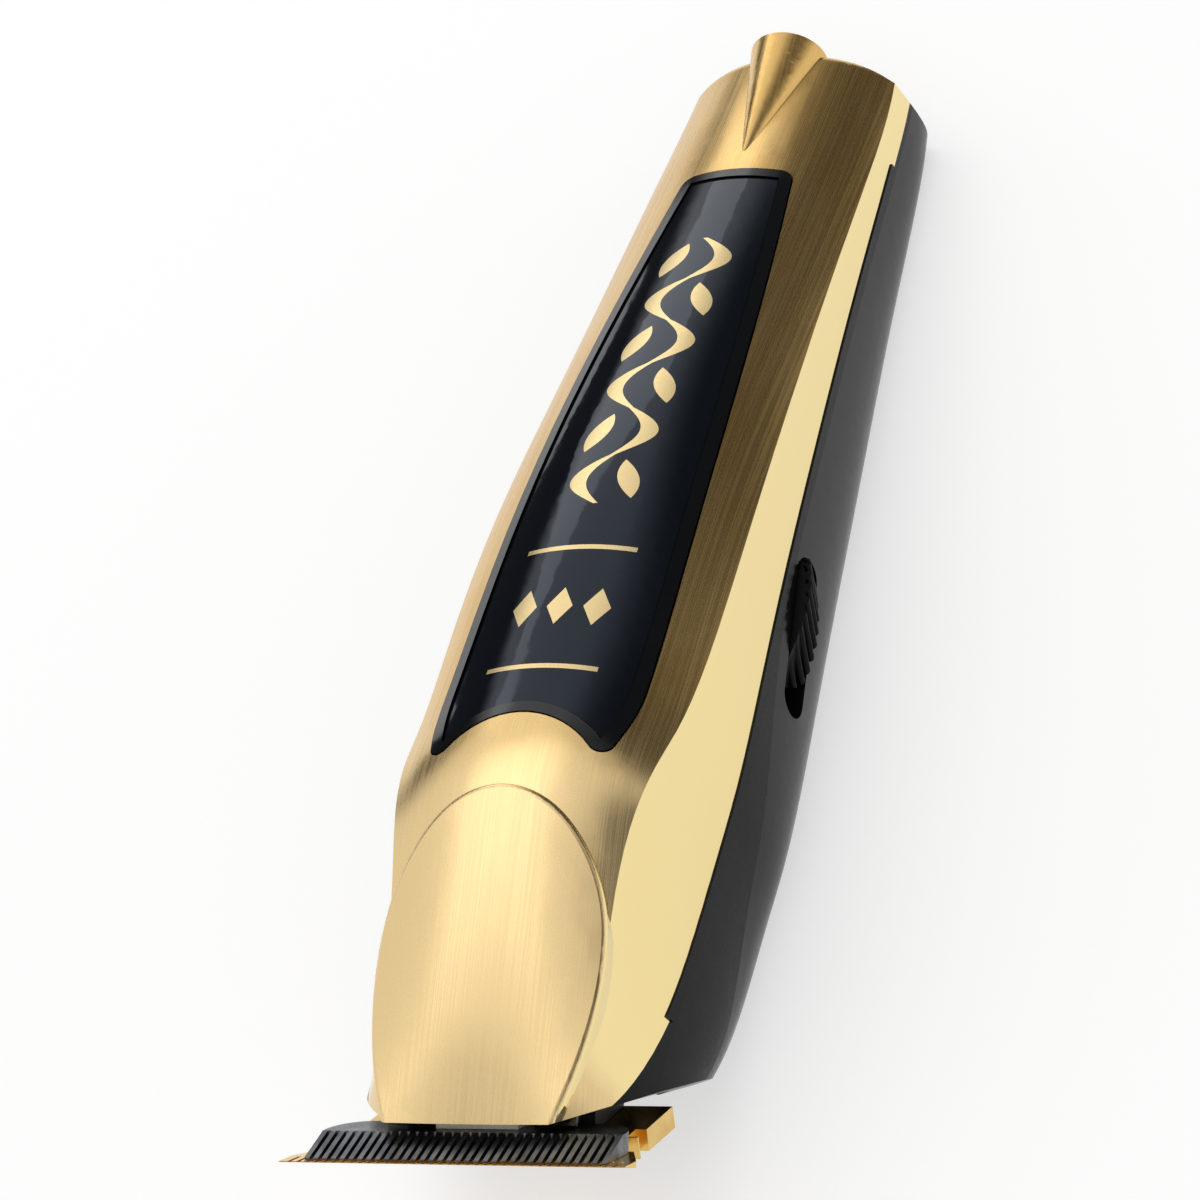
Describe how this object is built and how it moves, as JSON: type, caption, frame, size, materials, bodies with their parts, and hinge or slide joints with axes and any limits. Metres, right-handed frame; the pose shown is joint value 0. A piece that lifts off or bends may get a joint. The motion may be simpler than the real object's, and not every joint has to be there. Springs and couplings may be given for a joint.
{
  "type": "cordless hair clipper",
  "caption": "Cordless hair clipper with a wide T-shaped blade, tapered gold top shell with a black inlay, black underside and a ribbed side switch.",
  "frame": {"origin": "on the table, under the middle of the bounding box", "axes": "+X from the charging tail to the blade, +Y towards the side with the switch, +Z out of the gold top"},
  "size_m": [0.1592, 0.0384, 0.0363],
  "materials": {
    "armature_iron": "laminated",
    "battery_wrap": "shrink wrapped",
    "black_cutter_steel": "black diamond-like coating",
    "black_gloss_inlay": "polished black",
    "black_housing": "semi-gloss black",
    "black_nylon": "moulded",
    "black_satin_trim": "gloss black",
    "board_laminate": "solder mask",
    "bracket_steel": "stamped",
    "brass_contacts": "bright",
    "cam_brass": "turned",
    "capacitor_can": "drawn",
    "chip_epoxy": "moulded",
    "ferrite_magnets": "ground",
    "gold_plated_shell": "satin and mirror gold plating over plastic",
    "gold_titanium_blade": "gold titanium coating",
    "motor_steel": "zinc plated",
    "nickel_contacts": "plated",
    "nickel_strip": "rolled",
    "nylon_yoke": "moulded",
    "screw_steel": "machined",
    "shaft_steel": "ground",
    "sintered_bronze": "sintered",
    "spring_steel": "rolled",
    "switch_metal": "stamped",
    "switch_rubbery_plastic": "matte black",
    "white_nylon": "moulded"
  },
  "bodies": {
    "housing": {"battery_cell": "battery_wrap", "battery_cradle": "black_nylon", "battery_tabs": "nickel_strip", "blade_screws": "screw_steel", "board_capacitor": "capacitor_can", "board_screws": "screw_steel", "bottom_cover": "black_housing", "charge_contacts": "nickel_contacts", "charging_socket": "black_nylon", "circuit_board": "board_laminate", "control_chips": "chip_epoxy", "fixed_blade": "gold_titanium_blade", "housing_screws": "screw_steel", "inlay_frame": "black_satin_trim", "inlay_panel": "black_gloss_inlay", "mid_frame": "black_housing", "motor_bracket": "bracket_steel", "motor_bushings": "sintered_bronze", "motor_can": "motor_steel", "motor_end_cap": "white_nylon", "motor_magnets": "ferrite_magnets", "motor_screws": "screw_steel", "motor_terminals": "brass_contacts", "nose_insert": "black_nylon", "socket_pin": "brass_contacts", "spring_screws": "screw_steel", "switch_board": "board_laminate", "switch_body": "switch_metal", "tension_spring": "spring_steel", "upper_housing": "gold_plated_shell"},
    "cutter": {"cutter_blade": "black_cutter_steel", "drive_yoke": "nylon_yoke", "cutter_rivets": "screw_steel"},
    "rotor": {"motor_armature": "armature_iron", "motor_shaft": "shaft_steel", "eccentric_cam": "cam_brass", "drive_pin": "shaft_steel"},
    "switch": {"thumb_slide": "switch_rubbery_plastic", "switch_lever": "white_nylon"}
  },
  "joints": [
    {"name": "cutter_stroke", "type": "slide", "parent": "housing", "child": "cutter", "axis": [0, 1, 0], "range_m": [-0.0013, 0.0013]},
    {"name": "motor_spin", "type": "hinge", "parent": "housing", "child": "rotor", "pos_m": [0.03, 0, 0.02], "axis": [1, 0, 0], "continuous": true},
    {"name": "switch_slide", "type": "slide", "parent": "housing", "child": "switch", "axis": [0.9925, 0, -0.1219], "range_m": [0, 0.0036]}
  ]
}
